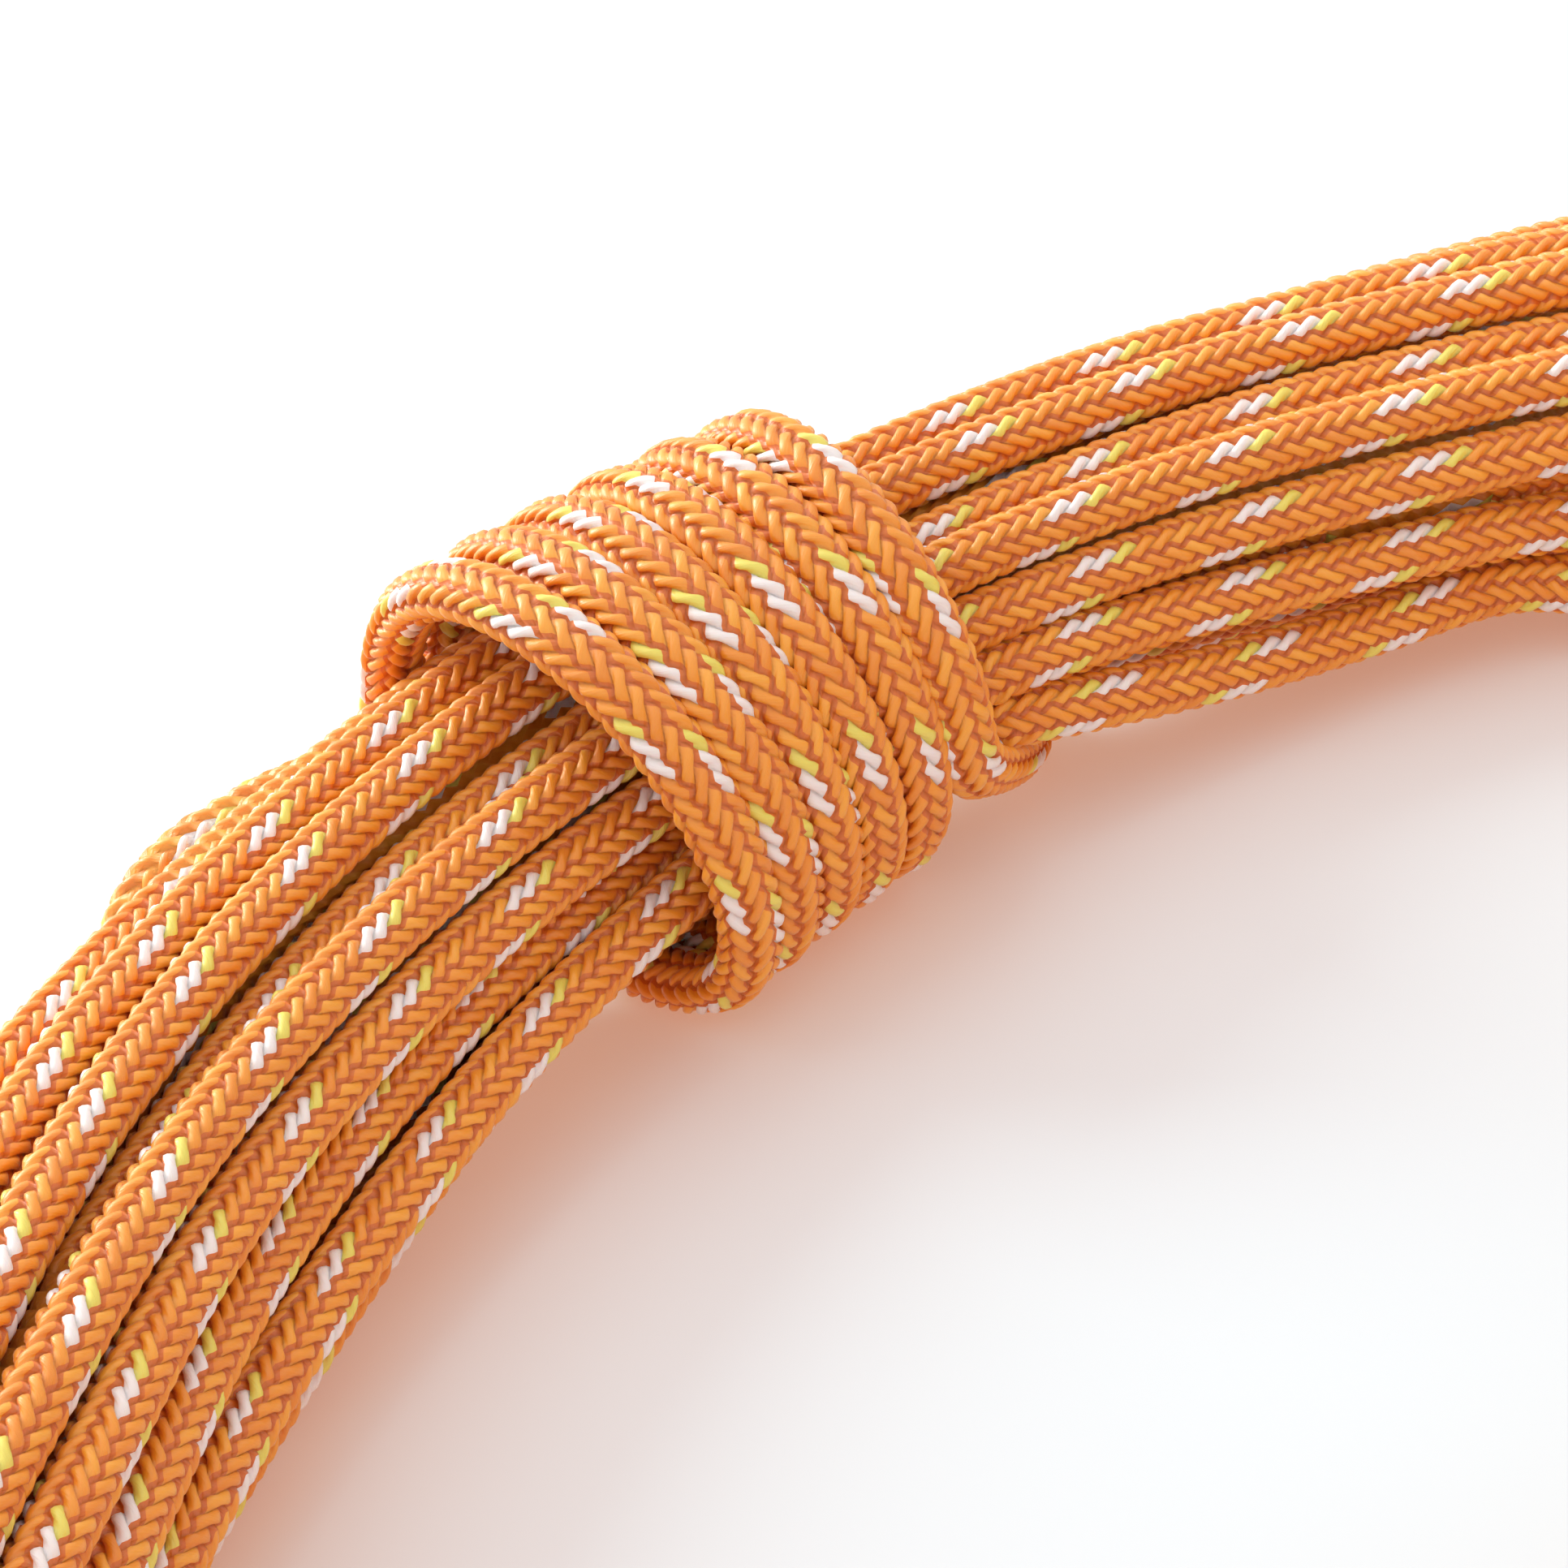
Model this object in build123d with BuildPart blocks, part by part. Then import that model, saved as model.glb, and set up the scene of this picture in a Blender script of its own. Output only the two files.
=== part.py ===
from build123d import *

import math
import os

# A thin braided cord wound into a ring coil, bound with turns of its own end.
#
# The coil lies on the plane Z = 0, its ring axis upright, and the middle of its box is on Z.
# All sizes are in millimetres. The ring's middle line is a quarter circle, with the binding on it,
# and closes as three sides of a box with round corners.

# The cord
CORD_D = 3.0  # outer diameter of the braided sheath
BORE_D = 1.9  # inside of the sheath, filled by the core
CORE_STRANDS = 3
CORE_STRAND_D = 0.84
CORE_PITCH_R = 0.49  # from the cord's centreline to the middle of each core strand

# The ring of turns
RING_X = 20.4  # where the quarter circle has its centre
RING_Y = -14.0
RING_R = 64.0  # to the middle of the bundle of turns
RIGHT_REACH = 23.5  # from the circle's centre to the middle line's right side
NEAR_REACH = 36.0  # from the circle's centre to the middle line's near side
NEAR_LEFT_R = 22.0  # the round corners of the middle line
NEAR_RIGHT_R = 30.0
FAR_RIGHT_R = 18.0
BUNDLE_HALF_WIDTH = 11.1
BUNDLE_HALF_HEIGHT = 9.5
BUNDLE_MIDDLE_Z = 8.7

# The binding, where the bundle is pulled tight
WRAP_ANGLE = 132.0  # where the binding's middle stands on the quarter circle, from +X
WRAP_HALF_ARC = 9.2
WRAP_OUTER_R = 12.3
WAIST_R = WRAP_OUTER_R - CORD_D
WAIST_MIDDLE_Z = WRAP_OUTER_R
WAIST_CLEARANCE = 0.05
FLARE_END = 40.0  # the bundle has its full section this far from the binding's middle
FLARE_STEPS = 5

# The melted ends
TIP_LENGTH = 1.6
TIP_EXTRA_R = 0.1
TIP_ROUNDING = 0.6

# The routes of the stretches that lie outside the bundle. Each point is an angle from
# the binding's middle, a distance outwards from the middle of the ring's bundle, and a height.
# Past the quarter circle the angle goes on as a distance along the middle line, RING_R a radian.
# A stretch leaves the binding's end face square to it, for LEAD, before its next point.
LEAD = 3.6
START_TAIL = [
    (-9.2, -9.4, 6.65),
    (-17.0, -9.7, 5.7),
    (-24.5, -10.3, 3.4),
    (-32.5, -10.9, 1.8),
    (-41.0, -11.4, 1.6),
    (-52.3, -11.9, 1.6),
]
FINISH_TAIL = [
    (9.2, 10.4, 9.1),
    (17.0, 10.4, 7.2),
    (23.0, 9.8, 4.1),
    (29.5, 9.9, 2.0),
    (36.0, 10.3, 1.6),
    (42.5, 10.0, 1.65),
    (49.0, 9.8, 1.6),
]
BIGHT_LOOP = [
    (9.2, 10.6, 14.7),
    (18.0, 12.8, 15.8),
    (21.9, 15.6, 11.9),
    (21.9, 15.2, 5.5),
    (18.0, 11.6, 1.7),
    (9.2, 6.55, 3.65),
]


def ring_point(angle, outwards, height):
    """A point by its angle from the binding, its distance from the bundle's middle and its height."""
    turn = math.radians(WRAP_ANGLE + angle)
    reach = RING_R + outwards
    centre_x, centre_y = RING_X, RING_Y
    past = RING_R * (math.radians(90) - turn) - (RIGHT_REACH - FAR_RIGHT_R)
    if past > 0:  # on the far right corner
        turn = math.radians(90) - past / FAR_RIGHT_R
        reach = FAR_RIGHT_R + outwards
        centre_x += RIGHT_REACH - FAR_RIGHT_R
        centre_y += RING_R - FAR_RIGHT_R
    return Vector(centre_x + reach * math.cos(turn), centre_y + reach * math.sin(turn), height)


def section_plane(angle):
    """The plane through the quarter circle's axis at an angle from the binding, its X pointing outwards."""
    turn = math.radians(WRAP_ANGLE + angle)
    return Plane(
        origin=(RING_X, RING_Y, 0),
        x_dir=(math.cos(turn), math.sin(turn), 0),
        z_dir=(math.sin(turn), -math.cos(turn), 0),
    )


def bend_radii(points):
    """The largest even bend at each corner: 0.45 of the shorter run over the tangent of half the turn."""
    radii = []
    for before, corner, after in zip(points, points[1:], points[2:]):
        run_in, run_out = corner - before, after - corner
        half_turn = math.radians(run_in.get_angle(run_out) / 2)
        radii.append(0.45 * min(run_in.length, run_out.length) / math.tan(half_turn))
    return radii


def straight_out(place):
    """The point that lies LEAD square out from the binding's end face."""
    away = section_plane(place[0]).z_dir * (-LEAD if place[0] > 0 else LEAD)
    return ring_point(*place) + away


def cord_line(name, route, returns):
    """The centreline of a stretch of cord, with its bends printed. One that returns ends as it starts."""
    points = [ring_point(*place) for place in route]
    points.insert(1, straight_out(route[0]))
    if returns:
        points.insert(-1, straight_out(route[-1]))
    radii = bend_radii(points)
    with BuildLine() as line:
        FilletPolyline(*points, radius=radii)
    path = line.wire()
    print(name, "bend radii", [round(r, 1) for r in radii], "length", round(path.length, 1))
    return path


def write(part, name):
    part.label = name
    export_step(part, f"parts/{name}.step")


os.makedirs("parts", exist_ok=True)

ring_axis = Axis((RING_X, RING_Y, 0), (0, 0, 1))

# The middle line past the binding: the rest of the quarter circle and the three sides that close it
with BuildLine(Plane.XY.offset(BUNDLE_MIDDLE_Z)) as closing_line:
    from_angle = WRAP_ANGLE + FLARE_END
    CenterArc((RING_X, RING_Y), RING_R, from_angle, 180 - from_angle)
    FilletPolyline(
        (RING_X - RING_R, RING_Y),
        (RING_X - RING_R, RING_Y - NEAR_REACH),
        (RING_X + RIGHT_REACH, RING_Y - NEAR_REACH),
        (RING_X + RIGHT_REACH, RING_Y + RING_R),
        (RING_X, RING_Y + RING_R),
        radius=(NEAR_LEFT_R, NEAR_RIGHT_R, FAR_RIGHT_R),
    )
    CenterArc((RING_X, RING_Y), RING_R, 90, WRAP_ANGLE - FLARE_END - 90)

# The bundle of turns: full round most of the ring, drawn in to a waist under the binding
with BuildPart() as ring_coil:
    with BuildSketch(section_plane(FLARE_END)):
        with Locations((RING_R, BUNDLE_MIDDLE_Z)):
            Ellipse(BUNDLE_HALF_WIDTH, BUNDLE_HALF_HEIGHT)
    sweep(path=closing_line.wire())
    with BuildSketch(section_plane(-WRAP_HALF_ARC)):
        with Locations((RING_R, WAIST_MIDDLE_Z)):
            Circle(WAIST_R)
    revolve(axis=ring_axis, revolution_arc=2 * WRAP_HALF_ARC)
    for side in (-1, 1):
        sections = []
        for step in range(FLARE_STEPS + 1):
            share = step / FLARE_STEPS
            swell = share * share * (3 - 2 * share)
            angle = side * (WRAP_HALF_ARC + share * (FLARE_END - WRAP_HALF_ARC))
            middle_z = WAIST_MIDDLE_Z + swell * (BUNDLE_MIDDLE_Z - WAIST_MIDDLE_Z)
            half_width = WAIST_R + swell * (BUNDLE_HALF_WIDTH - WAIST_R)
            half_height = WAIST_R + swell * (BUNDLE_HALF_HEIGHT - WAIST_R)
            with BuildSketch(section_plane(angle)) as section:
                with Locations((RING_R, middle_z)):
                    Ellipse(half_width, half_height)
            sections.append(section.sketch)
        loft(sections=sections)
    # The turns lie flat on whatever the coil rests on
    with Locations((0, 0, -BUNDLE_HALF_HEIGHT)):
        Box(4 * RING_R, 4 * RING_R, 2 * BUNDLE_HALF_HEIGHT, mode=Mode.SUBTRACT)
write(ring_coil.part, "ring_coil")

# The binding: turns of the cord's finishing end, side by side round the waist
with BuildPart() as wrap_coil:
    with BuildSketch(section_plane(-WRAP_HALF_ARC)):
        with Locations((RING_R, WAIST_MIDDLE_Z)):
            Circle(WRAP_OUTER_R)
            Circle(WAIST_R + WAIST_CLEARANCE, mode=Mode.SUBTRACT)
    revolve(axis=ring_axis, revolution_arc=2 * WRAP_HALF_ARC)
write(wrap_coil.part, "wrap_coil")


def make_stretch(name, route, returns=False):
    """A stretch of cord outside the bundle: its sheath, its core strands and, at a free end, its tip."""
    line = cord_line(name, route, returns)
    start = Plane(origin=line @ 0, z_dir=line % 0)

    with BuildPart() as sheath:
        with BuildSketch(start):
            Circle(CORD_D / 2)
            Circle(BORE_D / 2, mode=Mode.SUBTRACT)
        sweep(path=line)
    expected = math.pi / 4 * (CORD_D**2 - BORE_D**2) * line.length
    print(name, "sheath volume", round(sheath.part.volume, 1), "section x length", round(expected, 1))
    write(sheath.part, f"{name}_sheath")

    with BuildPart() as core:
        with BuildSketch(start):
            with PolarLocations(CORE_PITCH_R, CORE_STRANDS):
                Circle(CORE_STRAND_D / 2)
        sweep(path=line)
    write(core.part, f"{name}_core")

    if not returns:
        with BuildPart() as tip:
            with BuildSketch(Plane(origin=line @ 1, z_dir=line % 1)):
                Circle(CORD_D / 2 + TIP_EXTRA_R)
            extrude(amount=TIP_LENGTH)
            fillet(tip.faces().sort_by(Axis(line @ 1, line % 1))[-1].edges(), TIP_ROUNDING)
        write(tip.part, f"{name}_tip")


make_stretch("start_tail", START_TAIL)
make_stretch("finish_tail", FINISH_TAIL)
make_stretch("bight_loop", BIGHT_LOOP, returns=True)
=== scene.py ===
"""A thin braided climbing cord wound into a ring coil and bound with turns of its own end.

The whole cord is one smooth line: a start tail, a bight, the turns of the ring, a lead-in, the
binding and a finish tail. A woven sheath of sixteen carriers is built along that line, stitch by
stitch. All sizes are in metres. Angles are in degrees from the binding's middle, counter-clockwise,
so the side of the binding called left here has angles above zero.
"""

import math

import bpy
import numpy as np
from mathutils import Matrix, Vector


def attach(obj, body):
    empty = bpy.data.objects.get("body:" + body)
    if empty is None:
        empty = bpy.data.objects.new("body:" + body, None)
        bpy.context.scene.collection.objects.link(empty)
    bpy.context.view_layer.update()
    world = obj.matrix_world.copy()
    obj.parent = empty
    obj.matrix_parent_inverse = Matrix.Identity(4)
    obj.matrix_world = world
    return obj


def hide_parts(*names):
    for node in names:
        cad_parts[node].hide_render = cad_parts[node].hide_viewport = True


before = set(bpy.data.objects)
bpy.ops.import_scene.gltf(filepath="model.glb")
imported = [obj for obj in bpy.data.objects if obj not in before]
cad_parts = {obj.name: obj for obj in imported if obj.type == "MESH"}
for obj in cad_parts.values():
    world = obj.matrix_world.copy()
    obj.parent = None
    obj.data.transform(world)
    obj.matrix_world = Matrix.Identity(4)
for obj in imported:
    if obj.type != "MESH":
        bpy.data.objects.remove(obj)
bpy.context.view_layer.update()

# The cord and the ring, as the CAD part has them
CORD_D = 0.003
RING_CENTRE = (0.0204, -0.0140)
RING_R = 0.064
RIGHT_REACH = 0.0235
NEAR_REACH = 0.0360
NEAR_LEFT_R = 0.022
NEAR_RIGHT_R = 0.030
FAR_RIGHT_R = 0.018
RING_TURNS = 26
WRAP_TURNS = 6
WRAP_ANGLE = 132.0
WRAP_HALF_ARC = 9.2
WRAP_CENTRE_R = 0.0108
WAIST_MIDDLE_Z = 0.0123

# The arcs of the ring's middle line, joined by straights: centre, radius, and from and to which azimuth
RING_ARCS = [
    (0.0, 0.0, RING_R, WRAP_ANGLE, 180.0),
    (NEAR_LEFT_R - RING_R, NEAR_LEFT_R - NEAR_REACH, NEAR_LEFT_R, 180.0, 270.0),
    (RIGHT_REACH - NEAR_RIGHT_R, NEAR_RIGHT_R - NEAR_REACH, NEAR_RIGHT_R, 270.0, 360.0),
    (RIGHT_REACH - FAR_RIGHT_R, RING_R - FAR_RIGHT_R, FAR_RIGHT_R, 0.0, 90.0),
    (0.0, 0.0, RING_R, 90.0, WRAP_ANGLE),
]

# Routes given point by point. Each point is an angle, a distance outwards from the ring's middle and a height.
START_TAIL = [
    (-52.3, -0.0119, 0.0016),
    (-50.3, -0.0113, 0.0017),
    (-47.5, -0.0098, 0.0022),
    (-43.5, -0.0080, 0.0033),
    (-39.0, -0.0068, 0.0042),
    (-32.5, -0.0076, 0.0039),
    (-24.5, -0.0085, 0.0045),
    (-17.0, -0.0088, 0.0059),
    (-9.2, -0.0080, 0.0075),
    (0.0, -0.0010, 0.0062),
]
BIGHT_LOOP = [
    (9.2, 0.0050, 0.0056),
    (18.0, 0.0116, 0.0017),
    (21.9, 0.0152, 0.0055),
    (21.9, 0.0156, 0.0119),
    (18.0, 0.0128, 0.0152),
    (9.2, 0.0077, 0.0144),
]
LEAD_IN = [
    (-8.6, 0.0059, 0.0066),
    (-12.8, 0.0062, 0.0052),
    (-15.4, 0.0038, 0.0024),
    (-15.2, -0.0006, 0.0016),
    (-12.6, -0.0052, 0.0029),
]
FINISH_TAIL = [
    (10.6, 0.0114, 0.0096),
    (13.4, 0.0112, 0.0082),
    (17.0, 0.0104, 0.0066),
    (23.0, 0.0098, 0.0041),
    (29.5, 0.0099, 0.0020),
    (36.0, 0.0103, 0.0016),
    (42.5, 0.0100, 0.00165),
    (49.0, 0.0098, 0.0016),
]

# The bundle of turns: tight under the binding, loose from there on. Its section is an ellipse that
# holds the middles of the turns.
FLARE_START = 14.0  # where the turns start to come loose
FLARE_END = 32.0
FALL_DELAY = 3.0  # how much later than they spread the turns sink to the floor
WAIST_REACH = 0.0077
WAIST_LEFT_EXTRA = 0.0012  # at the left end, where the binding is wider
WAIST_LEFT_LIFT = 0.0005
WAIST_INWARDS = 0.0012
BUNDLE_MIDDLE_Z = 0.0090
BUNDLE_HALF_WIDTH = 0.0095
BUNDLE_LEFT_EXTRA = 0.0015
BUNDLE_HALF_HEIGHT = 0.0082
SWING_LEFT = 1.65  # how far the bundle bows outwards 45 degrees off, in cord diameters
SWING_RIGHT = 0.6

# The places of the turns under the binding
SLOT_GAP = 0.0029
SLOT_ROWS = [(1, 6, -1), (2, 5, 1), (3, 2, -1), (0, 5, 1), (-1, 6, -1)]  # row, turns in it, way it fills
LAST_SLOTS = [(0.0, -0.0050), (0.0029, -0.0050), (0.0058, -0.0050)]

# Settling the turns
STATIONS = 44  # points of each turn
SETTLE_STEPS = 420
LOOSE_SPACING = 1.13  # between neighbours' middles, in cord diameters
SQUEEZE = 0.155  # how much closer they are under the binding
SQUEEZE_SPARE = 0.04  # and how much of that is given back at its left end
WAVER = 0.0011  # how unevenly the turns were laid
SMOOTHING = 0.32
PUSH = 0.55
SINK = 0.00001  # per step

# The binding's turns
WRAP_POINTS = 84
WRAP_STEP = 24.0  # degrees round the waist from point to point
WRAP_START = -150.0  # degrees round the waist, from its outer side over the top
WRAP_SHIFT = 0.7  # degrees to the left
WRAP_INWARDS = 0.0012
LATE_RADIUS = 0.0011  # wider at the left end, where the last turn isn't held by a neighbour
LATE_BOW = 1.6
FOOT_BOW = 1.1  # the turns' lower sides lie further left and further in than their tops
FOOT_INWARDS = 0.0014
FLATTENED = 0.09  # how much thinner the cord is pressed there, and how much wider
WIDENED = 0.19

# The braid
CARRIERS = 8  # going each way round
LAY = 2.93 * CORD_D  # along the cord for one turn of a carrier
VALLEY_R = 0.375 * CORD_D
STITCH_RISE = 0.148 * CORD_D
INTERLOCK = 0.18  # how far stitches reach between those of the next column, as a share of a column
FINE, MIDDLING, COARSE = 6, 4, 2  # mesh steps along and across a stitch
EXPOSED_GAP = 78  # degrees between neighbours through which a turn shows
# The last of these is painted shade: a darker orange for the ends of each stitch, in the valleys between
# stitches.
ORANGE, DEEP_ORANGE, BRIGHT_ORANGE, WHITE, YELLOW, PAINTED_SHADE_ORANGE = range(6)

# The camera
CAMERA_PLACE = (RING_CENTRE[0], RING_CENTRE[1] - 0.10838, 0.09057)
CAMERA_RIGHT = (0.9555, 0.0929, -0.2800)
CAMERA_FORWARD = (-0.2195, 0.8581, -0.4643)
CAMERA_LENS = 82.17  # mm


def arc_end(arc, azimuth):
    """The point at an azimuth on an arc of the ring's middle line."""
    turn = math.radians(azimuth)
    return Vector((arc[0] + arc[2] * math.cos(turn), arc[1] + arc[2] * math.sin(turn)))


def ring_stretches():
    """The middle line's arcs and straights in order, each with its length: (length, arc, start, end)."""
    stretches = []
    for k, arc in enumerate(RING_ARCS):
        stretches.append((arc[2] * math.radians(arc[4] - arc[3]), arc, None, None))
        if k + 1 < len(RING_ARCS):
            start, end = arc_end(arc, arc[4]), arc_end(RING_ARCS[k + 1], RING_ARCS[k + 1][3])
            stretches.append(((end - start).length, arc, start, end))
    return stretches


RING_STRETCHES = ring_stretches()
RING_LENGTH = sum(stretch[0] for stretch in RING_STRETCHES)
FULL_TURN = math.degrees(RING_LENGTH / RING_R)


def ring_place(angle, outwards, height):
    """The point at an angle from the binding, a distance outwards from the ring's middle and a height.
    Past the quarter circle the angle goes on as a distance along the middle line."""
    left = (math.radians(angle) * RING_R) % RING_LENGTH
    for length, arc, start, end in RING_STRETCHES:
        if left <= length:
            break
        left -= length
    if start is None:
        azimuth = arc[3] + math.degrees(left / arc[2])
        place = arc_end(arc, azimuth)
    else:
        azimuth = arc[4]
        place = start.lerp(end, left / length)
    turn = math.radians(azimuth)
    x = RING_CENTRE[0] + place.x + outwards * math.cos(turn)
    y = RING_CENTRE[1] + place.y + outwards * math.sin(turn)
    return (x, y, height)


def eased(share):
    """A smooth rise from 0 to 1."""
    share = np.clip(share, 0.0, 1.0)
    return share * share * (3 - 2 * share)


def signed(angle):
    """An angle as its distance from the binding, left or right, whichever way is shorter."""
    return (np.asarray(angle) + FULL_TURN / 2) % FULL_TURN - FULL_TURN / 2


def bundle_section(angle):
    """The bundle's section at an angle: its middle outwards and up, and the reach of its turns' middles."""
    angle = signed(angle)
    flare = FLARE_END - FLARE_START
    free = eased((np.abs(angle) - FLARE_START) / flare)
    lowered = eased((np.abs(angle) - FLARE_START - FALL_DELAY) / flare)
    shown = eased((90.0 - np.abs(angle)) / 30.0)
    left = np.clip(angle / 45.0, -1.0, 1.4)
    widened = eased((angle + 9.0) / 18.0) * shown
    waist = WAIST_REACH + WAIST_LEFT_EXTRA * widened
    swing = CORD_D * np.where(left > 0, SWING_LEFT, SWING_RIGHT) * left**2
    out = free * shown * swing - WAIST_INWARDS * (1 - free) * shown
    waist_up = WAIST_MIDDLE_Z + WAIST_LEFT_LIFT * widened
    up = waist_up + lowered * (BUNDLE_MIDDLE_Z - waist_up)
    loose_half_width = BUNDLE_HALF_WIDTH + BUNDLE_LEFT_EXTRA * shown * np.clip(left, -0.4, 1.0)
    half_width = waist + free * (loose_half_width - waist)
    half_height = waist + lowered * (BUNDLE_HALF_HEIGHT + 0.0003 * widened - waist)
    return out, up, half_width, half_height


def waist_slots():
    """The places of the passes under the binding, row by row, each row filling back from where the last ended."""
    slots = []
    for row, count, way in SLOT_ROWS:
        for k in range(count):
            slots.append((way * SLOT_GAP * (k - (count - 1) / 2), row * SLOT_GAP * math.sqrt(0.75)))
    return np.array(slots + LAST_SLOTS)


def route_at(route, angle):
    """Every place, outwards and up, where one of the listed routes passes an angle."""
    places = []
    for (a0, x0, z0), (a1, x1, z1) in zip(route, route[1:]):
        if min(a0, a1) <= angle < max(a0, a1):
            share = (angle - a0) / (a1 - a0)
            places.append((x0 + share * (x1 - x0), z0 + share * (z1 - z0)))
    return places


def laid_turns(angle, section_middle, loose):
    """The turns as they were first laid: from slot to slot at the waist, wavering where they are loose."""
    rng = np.random.default_rng(11)
    index = np.arange(len(angle))
    slots = waist_slots()
    turn = np.minimum(index // STATIONS, RING_TURNS - 1)
    shift = eased(((index / STATIONS - turn) - 0.3) / 0.4)[:, None]
    spread = slots[turn] * (1 - shift) + slots[turn + 1] * shift
    coarse = rng.normal(size=(len(index) // 7 + 3, 2)) * WAVER
    knots = np.arange(len(coarse)) * 7.0
    waver = np.stack([np.interp(index, knots, coarse[:, k]) for k in (0, 1)], 1)
    return spread + section_middle + waver * loose


def guests_at_stations(last_place):
    """The listed stretches of cord that the turns have to leave room for, at each station."""
    guests = np.full((STATIONS, 4, 2), 10.0)
    for k in range(STATIONS):
        at = float(signed(-k * FULL_TURN / STATIONS))
        found = [p for route in (START_TAIL, BIGHT_LOOP, LEAD_IN, FINISH_TAIL) for p in route_at(route, at)]
        for slot, place in enumerate(found[:4]):
            guests[k, slot] = place
    guests[0, 3] = last_place
    return guests


def settle_turns():
    """The turns' middles at every station of every turn: pushed apart, held in the bundle, laid on the floor."""
    count = RING_TURNS * STATIONS + 1
    angle = -np.arange(count) * FULL_TURN / STATIONS
    out, up, half_width, half_height = bundle_section(angle)
    middle_of_section = np.stack([out, up], 1)
    half_size = np.stack([half_width, half_height], 1)
    loose = eased((np.abs(signed(angle)) - FLARE_START) / (FLARE_END - FLARE_START))[:, None]
    places = laid_turns(angle, middle_of_section, loose)
    held = {0: places[0].copy(), count - 1: places[-1].copy()}
    guests = guests_at_stations(held[count - 1])

    tight = 1 - loose[:STATIONS, 0]
    spare = SQUEEZE_SPARE * eased((signed(angle[:STATIONS]) + 9.0) / 18.0)
    want = (CORD_D * (LOOSE_SPACING - (SQUEEZE - spare) * tight))[:, None, None]
    for _ in range(SETTLE_STEPS):
        middle = (places[:-2] + places[2:]) / 2
        places[1:-1] += SMOOTHING * (middle - places[1:-1])
        grid = places[:-1].reshape(RING_TURNS, STATIONS, 2).transpose(1, 0, 2).copy()
        for others, share in ((grid, 0.5), (guests, 1.0)):
            away = grid[:, :, None] - others[:, None]
            gap = np.linalg.norm(away, axis=3)
            near = np.where(gap < 1e-7, 1.0, gap)
            push = np.where(gap < 1e-7, 0.0, np.clip(want - gap, 0, None)) * share
            grid = grid + PUSH * np.sum(away / near[..., None] * push[..., None], axis=2)
        places[:-1] = grid.transpose(1, 0, 2).reshape(-1, 2)
        places[:, 1] -= SINK * loose[:, 0]
        from_middle = (places - middle_of_section) / half_size
        outside = np.clip(np.linalg.norm(from_middle, axis=1), 1.0, None)[:, None]
        places = from_middle / outside * half_size + middle_of_section
        places[:, 1] = np.maximum(places[:, 1], CORD_D * 0.5)
        for k, place in held.items():
            places[k] = place
    return angle, places


def widest_gap(ways):
    """The widest angle between neighbours seen in these directions."""
    if not len(ways):
        return 2 * math.pi
    ways = np.sort(ways)
    return max(np.diff(np.append(ways, ways[0] + 2 * math.pi)))


def exposed(angle, places):
    """How finely each place needs to be woven: fine where the view is, coarse where others cover it."""
    out, up, _, _ = bundle_section(angle)
    level = np.full(len(angle), COARSE)
    station = np.arange(len(angle)) % STATIONS
    for k in range(STATIONS):
        members = np.nonzero(station == k)[0]
        for m in members:
            away = places[members] - places[m]
            gap = np.linalg.norm(away, axis=1)
            close = (gap > 1e-9) & (gap < 2.4 * CORD_D)
            if widest_gap(np.arctan2(away[close, 1], away[close, 0])) > math.radians(EXPOSED_GAP):
                level[m] = MIDDLING
                towards_view = 0.6 * (places[m, 1] - up[m]) - 0.8 * (places[m, 0] - out[m])
                if -54 < signed(angle[m]) < 64 and towards_view > -0.003:
                    level[m] = FINE
    return level


def wrap_places():
    """The binding: a helix round the waist, going up its inner side, over the top and down the outer side.
    It widens towards its left end, where the last turn bows out to the left over the bundle."""
    places = []
    pitch = 2 * WRAP_HALF_ARC / WRAP_TURNS
    first = -pitch * (WRAP_TURNS - 1) / 2
    for step in range(WRAP_POINTS):
        round_waist = WRAP_START - WRAP_STEP * step
        turns = (-round_waist - 270.0) / 360.0
        late = min(max(turns, 0.0) / (WRAP_TURNS - 1), 1.0)
        facing = max(0.0, math.cos(math.radians(round_waist - 135.0)))
        below = max(0.0, -math.sin(math.radians(round_waist)))
        angle = first + pitch * turns + WRAP_SHIFT + FOOT_BOW * below + LATE_BOW * late * facing
        radius = WRAP_CENTRE_R * 1.008 + LATE_RADIUS * late
        x = radius * math.cos(math.radians(round_waist)) - WRAP_INWARDS - FOOT_INWARDS * below
        z = WAIST_MIDDLE_Z + 0.0001 * late + radius * math.sin(math.radians(round_waist))
        places.append((angle, x, max(z, CORD_D / 2)))
    return places


def cord_route():
    """Every control point of the cord from its start to its finish, and how finely each is woven."""
    angle, places = settle_turns()
    turns = [(a, x, z) for a, (x, z) in zip(angle, places)]
    wraps = wrap_places()
    points, levels = [], []
    for route, level in (
        (START_TAIL, FINE),
        (BIGHT_LOOP, MIDDLING),
        (turns, exposed(angle, places)),
        (LEAD_IN, MIDDLING),
        (wraps, FINE),
        (FINISH_TAIL, MIDDLING),
    ):
        points += [ring_place(*place) for place in route]
        levels += list(np.broadcast_to(level, len(route)))
    return points, np.array(levels)


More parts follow.
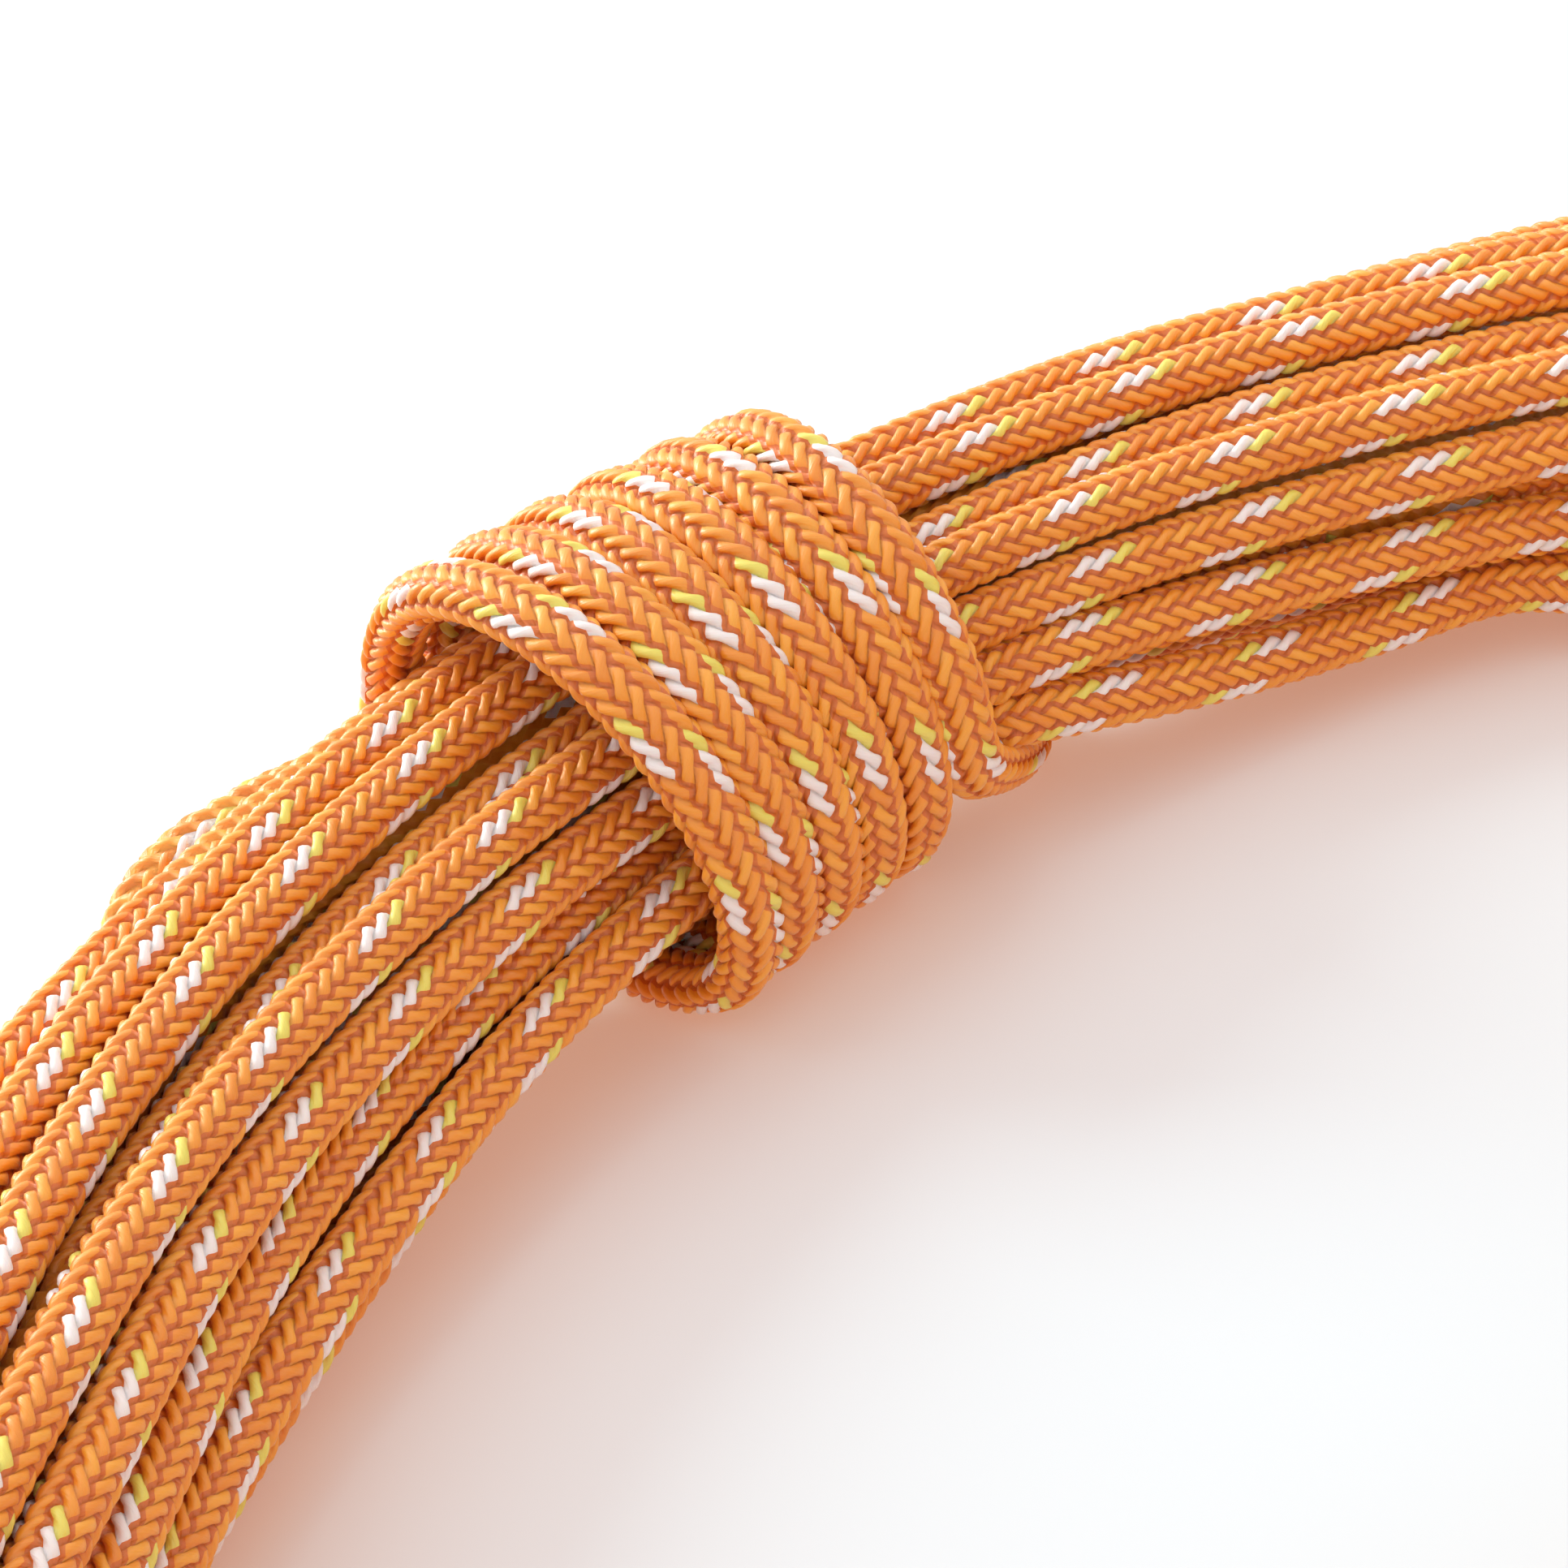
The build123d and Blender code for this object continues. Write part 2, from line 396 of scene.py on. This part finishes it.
def smooth_line(points):
    """The cord's line: one open NURBS spline with these control points, read back as points along it."""
    data = bpy.data.curves.new("cord_line", "CURVE")
    data.dimensions = "3D"
    data.resolution_u = 3
    spline = data.splines.new("NURBS")
    spline.points.add(len(points) - 1)
    for point, place in zip(spline.points, points):
        point.co = (*place, 1.0)
    spline.order_u = 3
    spline.use_endpoint_u = True
    holder = bpy.data.objects.new("cord_line", data)
    bpy.context.collection.objects.link(holder)
    bpy.context.view_layer.update()
    mesh = bpy.data.meshes.new_from_object(holder.evaluated_get(bpy.context.evaluated_depsgraph_get()))
    line = np.array([v.co[:] for v in mesh.vertices])
    bpy.data.objects.remove(holder)
    bpy.data.meshes.remove(mesh)
    return line


class Line:
    """A smooth line with a frame carried along it without twist, read at any distance from its start."""

    def __init__(self, points):
        keep = np.append(True, np.linalg.norm(np.diff(points, axis=0), axis=1) > 1e-6)
        self.points = points[keep]
        steps = np.linalg.norm(np.diff(self.points, axis=0), axis=1)
        self.along = np.append(0.0, np.cumsum(steps))
        self.length = self.along[-1]
        slope = np.gradient(self.points, self.along, axis=0)
        self.slope = slope / np.linalg.norm(slope, axis=1)[:, None]
        side = Vector((0, 0, 1)).cross(Vector(self.slope[0])).normalized()
        sides = [side]
        for before, after in zip(self.slope, self.slope[1:]):
            side = Vector(before).rotation_difference(Vector(after)) @ side
            sides.append(side.copy())
        self.side = np.array([s[:] for s in sides])

    def at(self, distance):
        """Places, directions and two square directions at these distances."""
        k = np.clip(np.searchsorted(self.along, distance, side="right") - 1, 0, len(self.along) - 2)
        step = self.along[k + 1] - self.along[k]
        share = ((distance - self.along[k]) / step)[:, None]
        near, far = self.points[k], self.points[k + 1]
        pull_near, pull_far = self.slope[k] * step[:, None], self.slope[k + 1] * step[:, None]
        cube, square = share**3, share**2
        place = (
            (2 * cube - 3 * square + 1) * near
            + (cube - 2 * square + share) * pull_near
            + (3 * square - 2 * cube) * far
            + (cube - square) * pull_far
        )
        direction = self.slope[k] * (1 - share) + self.slope[k + 1] * share
        direction /= np.linalg.norm(direction, axis=1)[:, None]
        side = self.side[k] * (1 - share) + self.side[k + 1] * share
        side -= direction * np.sum(side * direction, axis=1)[:, None]
        side /= np.linalg.norm(side, axis=1)[:, None]
        return place, direction, side, np.cross(direction, side)


def stitch_colours(right_hand, carrier, order):
    """The material of each stitch. Of the carriers that go round left-handed two are white and one is
    yellow. All the others are orange, a little lighter or deeper from stitch to stitch."""
    chance = (order * 7919 + carrier * 104729) % 97
    orange = np.where(chance < 22, DEEP_ORANGE, np.where(chance > 76, BRIGHT_ORANGE, ORANGE))
    marker = carrier % CARRIERS
    return np.where(right_hand | (marker > 2), orange, np.where(marker == 2, YELLOW, WHITE))


def weave(line, first, last, steps, tucks, lay_step, flatten):
    """The woven surface from one stitch line to another: points, faces, face materials and face UVs.
    The stitches stand in columns along the cord, slanting one way and the other in turn, and each
    is a patch of the mesh. Rows of the mesh run zigzag round the cord, along the stitches' edges.
    Tucks say by how many stitches each end runs on under the finer weave beside it. In the finest
    weave a stitch's two ends, where it dives under the next column, get a darker orange as painted shade."""
    rows = np.arange((first - tucks[0]) * steps, (last + tucks[1]) * steps + 1)
    around = CARRIERS * steps
    row, column = (g.astype(float) / steps for g in np.meshgrid(rows, np.arange(around), indexing="ij"))
    in_pair = column % 2
    right_hand = in_pair < 1
    zigzag = np.where(right_hand, in_pair, 2 - in_pair)
    distance = np.clip((row + zigzag - 0.5) * lay_step, 0, line.length).ravel()
    across = np.where(right_hand, row, row + 0.5) % 1
    along = in_pair % 1
    crown = np.clip(1 - np.abs(2 * across - 1) ** 2.2, 0, 1) ** 0.6
    arch = np.clip(1 - np.abs(2 * along - 1) ** 2.4, 0, 1) ** 0.8
    reach = VALLEY_R + STITCH_RISE * crown * arch
    reach *= np.where((row < first) | (row > last), 0.93, 1.0)
    meshing = INTERLOCK * np.cos(math.pi * column) * np.cos(2 * math.pi * row)
    turn = (column + meshing) * 2 * math.pi / CARRIERS

    place, direction, side, up = line.at(distance)
    reach, turn = reach.ravel()[:, None], turn.ravel()[:, None]
    points = place + flatten(place, distance, reach * (np.cos(turn) * side + np.sin(turn) * up))

    r, c = np.meshgrid(np.arange(len(rows) - 1), np.arange(around), indexing="ij")
    beside = (c + 1) % around
    faces = np.stack([r * around + c, r * around + beside, (r + 1) * around + beside, (r + 1) * around + c], -1)
    pair, in_pair = c // (2 * steps), c % (2 * steps)
    right_hand = in_pair < steps
    lifted = rows[r] + np.where(right_hand, 0, steps // 2)
    stitch = lifted // steps
    carrier = np.where(right_hand, stitch - 2 * pair, stitch + 2 * pair + 2)
    colours = stitch_colours(right_hand, carrier, stitch + 13 * pair + 5 * right_hand)
    # Painted shade: in the finest weave the first and last mesh step of every stitch, down in the valleys, take
    # the darker orange.
    if steps == FINE:
        painted_shade_ends = (in_pair % steps == 0) | (in_pair % steps == steps - 1)
        colours = np.where(painted_shade_ends, PAINTED_SHADE_ORANGE, colours)
    uvs = []
    for dr, dc in ((0, 0), (0, 1), (1, 1), (1, 0)):
        along = (in_pair % steps + dc) / steps
        across = (lifted % steps + dr) / steps
        uvs.append(np.stack([along + 5.3 * (carrier % 37), across + 2.7 * (stitch % 41)], -1))
    return points, faces.reshape(-1, 4), colours.ravel(), np.stack(uvs, 2).reshape(-1, 2)


def weave_runs(levels, line, lay_count):
    """Stretches of one weave: how fine each lay of the cord is, joined where neighbours are alike."""
    share = np.linspace(0, len(levels) - 1, len(line.points))
    needed = np.maximum(levels[np.floor(share).astype(int)], levels[np.ceil(share).astype(int)])
    lay_of_point = np.minimum((line.along / line.length * lay_count).astype(int), lay_count - 1)
    fineness = np.full(lay_count, COARSE)
    np.maximum.at(fineness, lay_of_point, needed)
    cuts = np.append(0, np.nonzero(np.diff(fineness))[0] + 1)
    ends = np.append(cuts[1:], lay_count)
    return [(int(c), int(e), int(fineness[c])) for c, e in zip(cuts, ends)]


def make_rope(points, levels):
    """The whole cord as one mesh, woven along its line."""
    line = Line(smooth_line(points))
    wraps_from = len(points) - len(FINISH_TAIL) - WRAP_POINTS
    lay_count = round(line.length / LAY)
    lay_step = line.length / lay_count / CARRIERS
    wrap_zone = np.interp(
        np.arange(len(line.points)),
        np.linspace(0, len(line.points) - 1, len(levels)),
        (np.arange(len(levels)) >= wraps_from) & (np.arange(len(levels)) < wraps_from + WRAP_POINTS),
    )

    def flatten(place, distance, offset):
        """Presses the binding's turns a little flat against the waist."""
        share = np.interp(distance, line.along, wrap_zone)[:, None]
        flat = place[:, :2] - RING_CENTRE
        flat /= np.linalg.norm(flat, axis=1)[:, None]
        axis = np.concatenate([RING_CENTRE + flat * RING_R, np.full((len(place), 1), WAIST_MIDDLE_Z)], 1)
        away = place - axis
        away /= np.linalg.norm(away, axis=1)[:, None] + 1e-9
        beside = np.stack([-flat[:, 1], flat[:, 0], np.zeros(len(flat))], 1)
        radial = np.sum(offset * away, axis=1)[:, None] * share * FLATTENED
        lateral = np.sum(offset * beside, axis=1)[:, None] * share * WIDENED
        return offset - radial * away + lateral * beside

    runs = weave_runs(levels, line, lay_count)
    parts, start = [], 0
    for k, (first, last, steps) in enumerate(runs):
        before = k > 0 and runs[k - 1][2] > steps
        after = k + 1 < len(runs) and runs[k + 1][2] > steps
        tucks = (int(before), int(after))
        made = weave(line, first * CARRIERS, last * CARRIERS, steps, tucks, lay_step, flatten)
        parts.append((made[0], made[1] + start, made[2], made[3]))
        start += len(made[0])
    verts, faces, colours, uvs = (np.concatenate(p) for p in zip(*parts))

    mesh = bpy.data.meshes.new("rope")
    mesh.vertices.add(len(verts))
    mesh.vertices.foreach_set("co", verts.astype(np.float32).ravel())
    mesh.loops.add(faces.size)
    mesh.loops.foreach_set("vertex_index", faces.astype(np.int32).ravel())
    mesh.polygons.add(len(faces))
    mesh.polygons.foreach_set("loop_start", np.arange(0, faces.size, 4, dtype=np.int32))
    mesh.polygons.foreach_set("material_index", colours.astype(np.int32))
    mesh.polygons.foreach_set("use_smooth", np.ones(len(faces), dtype=bool))
    layer = mesh.uv_layers.new(name="stitches")
    layer.data.foreach_set("uv", uvs.astype(np.float32).ravel())
    mesh.update(calc_edges=True)
    rope = bpy.data.objects.new("rope", mesh)
    bpy.context.collection.objects.link(rope)
    print("rope", len(verts), "points", len(faces), "faces", round(line.length, 3), "m", len(runs), "runs")
    return rope, line


def yarn(name, colour, roughness=0.38, sheen=0.45):
    """A bright nylon yarn: filaments that run along each stitch, with a satin sheen."""
    material = bpy.data.materials.new(name)
    material.use_nodes = True
    nodes, links = material.node_tree.nodes, material.node_tree.links
    shader = nodes["Principled BSDF"]
    shader.inputs["Base Color"].default_value = (*colour, 1.0)
    shader.inputs["Sheen Weight"].default_value = sheen
    shader.inputs["Sheen Roughness"].default_value = 0.4
    shader.inputs["Specular IOR Level"].default_value = 0.85
    shader.inputs["Sheen Tint"].default_value = (*[min(1.0, c * 0.5 + 0.5) for c in colour], 1.0)
    shader.inputs["Subsurface Weight"].default_value = 0.12
    shader.inputs["Subsurface Radius"].default_value = (1.0, 0.45, 0.2)
    shader.inputs["Subsurface Scale"].default_value = 0.0004

    place = nodes.new("ShaderNodeUVMap")
    place.uv_map = "stitches"
    stretch = nodes.new("ShaderNodeMapping")
    stretch.inputs["Scale"].default_value = (0.9, 9.0, 1.0)
    filaments = nodes.new("ShaderNodeTexNoise")
    filaments.inputs["Scale"].default_value = 1.6
    filaments.inputs["Detail"].default_value = 3.0
    bump = nodes.new("ShaderNodeBump")
    bump.inputs["Strength"].default_value = 0.55
    bump.inputs["Distance"].default_value = 0.00006
    spread = nodes.new("ShaderNodeMapRange")
    spread.inputs["To Min"].default_value = roughness - 0.10
    spread.inputs["To Max"].default_value = roughness + 0.16
    links.new(place.outputs["UV"], stretch.inputs["Vector"])
    links.new(stretch.outputs["Vector"], filaments.inputs["Vector"])
    links.new(filaments.outputs["Fac"], bump.inputs["Height"])
    links.new(filaments.outputs["Fac"], spread.inputs["Value"])
    links.new(bump.outputs["Normal"], shader.inputs["Normal"])
    links.new(spread.outputs["Result"], shader.inputs["Roughness"])
    return material


def melted_nylon():
    """The sealed ends: cord melted to a dark, slightly glossy bead."""
    material = bpy.data.materials.new("melted_nylon")
    material.use_nodes = True
    nodes, links = material.node_tree.nodes, material.node_tree.links
    shader = nodes["Principled BSDF"]
    shader.inputs["Base Color"].default_value = (0.36, 0.09, 0.012, 1.0)
    place = nodes.new("ShaderNodeTexCoord")
    lumps = nodes.new("ShaderNodeTexNoise")
    lumps.inputs["Scale"].default_value = 900.0
    lumps.inputs["Detail"].default_value = 4.0
    bump = nodes.new("ShaderNodeBump")
    bump.inputs["Strength"].default_value = 0.6
    bump.inputs["Distance"].default_value = 0.0002
    spread = nodes.new("ShaderNodeMapRange")
    spread.inputs["To Min"].default_value = 0.28
    spread.inputs["To Max"].default_value = 0.6
    links.new(place.outputs["Object"], lumps.inputs["Vector"])
    links.new(lumps.outputs["Fac"], bump.inputs["Height"])
    links.new(lumps.outputs["Fac"], spread.inputs["Value"])
    links.new(bump.outputs["Normal"], shader.inputs["Normal"])
    links.new(spread.outputs["Result"], shader.inputs["Roughness"])
    return material


def pale_floor():
    """A plain pale surface under the coil. It glows warm with painted light of its own, which gives its shade
    a warm tone and lights the coil from below. Its own colour is as much cooler, so that it is neutral in the
    light and warm in the shade."""
    mesh = bpy.data.meshes.new("floor")
    half = 3.0
    mesh.from_pydata([(-half, -half, 0), (half, -half, 0), (half, half, 0), (-half, half, 0)], [], [(0, 1, 2, 3)])
    floor = bpy.data.objects.new("floor", mesh)
    bpy.context.collection.objects.link(floor)
    material = bpy.data.materials.new("floor_paper")
    material.use_nodes = True
    shader = material.node_tree.nodes["Principled BSDF"]
    # Painted light: a warm glow, though the floor is no lamp, and a cooler base colour so that the lit floor
    # stays neutral.
    shader.inputs["Base Color"].default_value = (0.321, 0.516, 0.592, 1.0)
    shader.inputs["Emission Color"].default_value = (0.46, 0.22, 0.15, 1.0)
    shader.inputs["Emission Strength"].default_value = 1.0
    shader.inputs["Roughness"].default_value = 0.7
    shader.inputs["Specular IOR Level"].default_value = 0.15
    mesh.materials.append(material)
    return floor


def aim(thing, target):
    """Turns a lamp to face a point."""
    thing.rotation_euler = (Vector(target) - thing.location).to_track_quat("-Z", "Y").to_euler()


def area_light(name, location, target, size, power, colour):
    """A round soft lamp."""
    data = bpy.data.lights.new(name, "AREA")
    data.shape = "DISK"
    data.size = size
    data.energy = power
    data.color = colour
    light = bpy.data.objects.new(name, data)
    bpy.context.collection.objects.link(light)
    light.location = location
    aim(light, target)
    return light


def studio():
    """Soft light from all round, and two lamps behind the coil on its left, a large and a small one."""
    scene = bpy.context.scene
    scene.view_settings.view_transform = "Standard"
    world = bpy.data.worlds.new("studio")
    world.use_nodes = True
    background = world.node_tree.nodes["Background"]
    background.inputs["Color"].default_value = (1.0, 1.0, 1.0, 1.0)
    background.inputs["Strength"].default_value = 0.92
    scene.world = world
    area_light("key", (-0.30, 0.35, 0.85), (-0.02, 0.0, 0.0), 1.1, 3.6, (1.0, 0.985, 0.96))
    area_light("rim", (-0.45, 0.30, 0.35), (-0.03, 0.02, 0.01), 0.28, 3.4, (1.0, 0.97, 0.93))


def look():
    """The camera: low over the ring's near side, looking across it at the binding."""
    data = bpy.data.cameras.new("camera")
    data.sensor_width = 36.0
    data.lens = CAMERA_LENS
    data.clip_start = 0.005
    data.clip_end = 20.0
    camera = bpy.data.objects.new("camera", data)
    bpy.context.collection.objects.link(camera)
    right = Vector(CAMERA_RIGHT).normalized()
    forward = Vector(CAMERA_FORWARD)
    forward = (forward - right * forward.dot(right)).normalized()
    up = right.cross(forward)
    turn = Matrix((right, up, -forward)).transposed().to_4x4()
    camera.matrix_world = Matrix.Translation(CAMERA_PLACE) @ turn
    bpy.context.scene.camera = camera


control_points, fineness = cord_route()
rope, cord_line = make_rope(control_points, fineness)
for material in (
    yarn("yarn_orange", (0.93, 0.335, 0.016)),
    yarn("yarn_orange_deep", (0.88, 0.285, 0.011)),
    yarn("yarn_orange_bright", (0.97, 0.400, 0.026)),
    yarn("yarn_white", (0.93, 0.86, 0.84), 0.38, 0.3),
    yarn("yarn_yellow", (0.86, 0.74, 0.12), 0.38, 0.3),
    # The last yarn is painted shade: the darker orange for the valleys between stitches.
    yarn("yarn_orange_painted_shade", (0.74, 0.17, 0.008)),
):
    rope.data.materials.append(material)
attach(rope, "root")
stretches = ("start_tail", "finish_tail", "bight_loop")
replaced = [f"{stretch}_{layer}" for stretch in stretches for layer in ("sheath", "core")]
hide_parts("ring_coil", "wrap_coil", *replaced)

melted = melted_nylon()
tips = [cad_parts[name] for name in ("start_tail_tip", "finish_tail_tip")]
for tip in tips:
    for slot in tip.material_slots:
        slot.material = melted

ring_place(*START_TAIL[0])
pale_floor()
studio()
look()
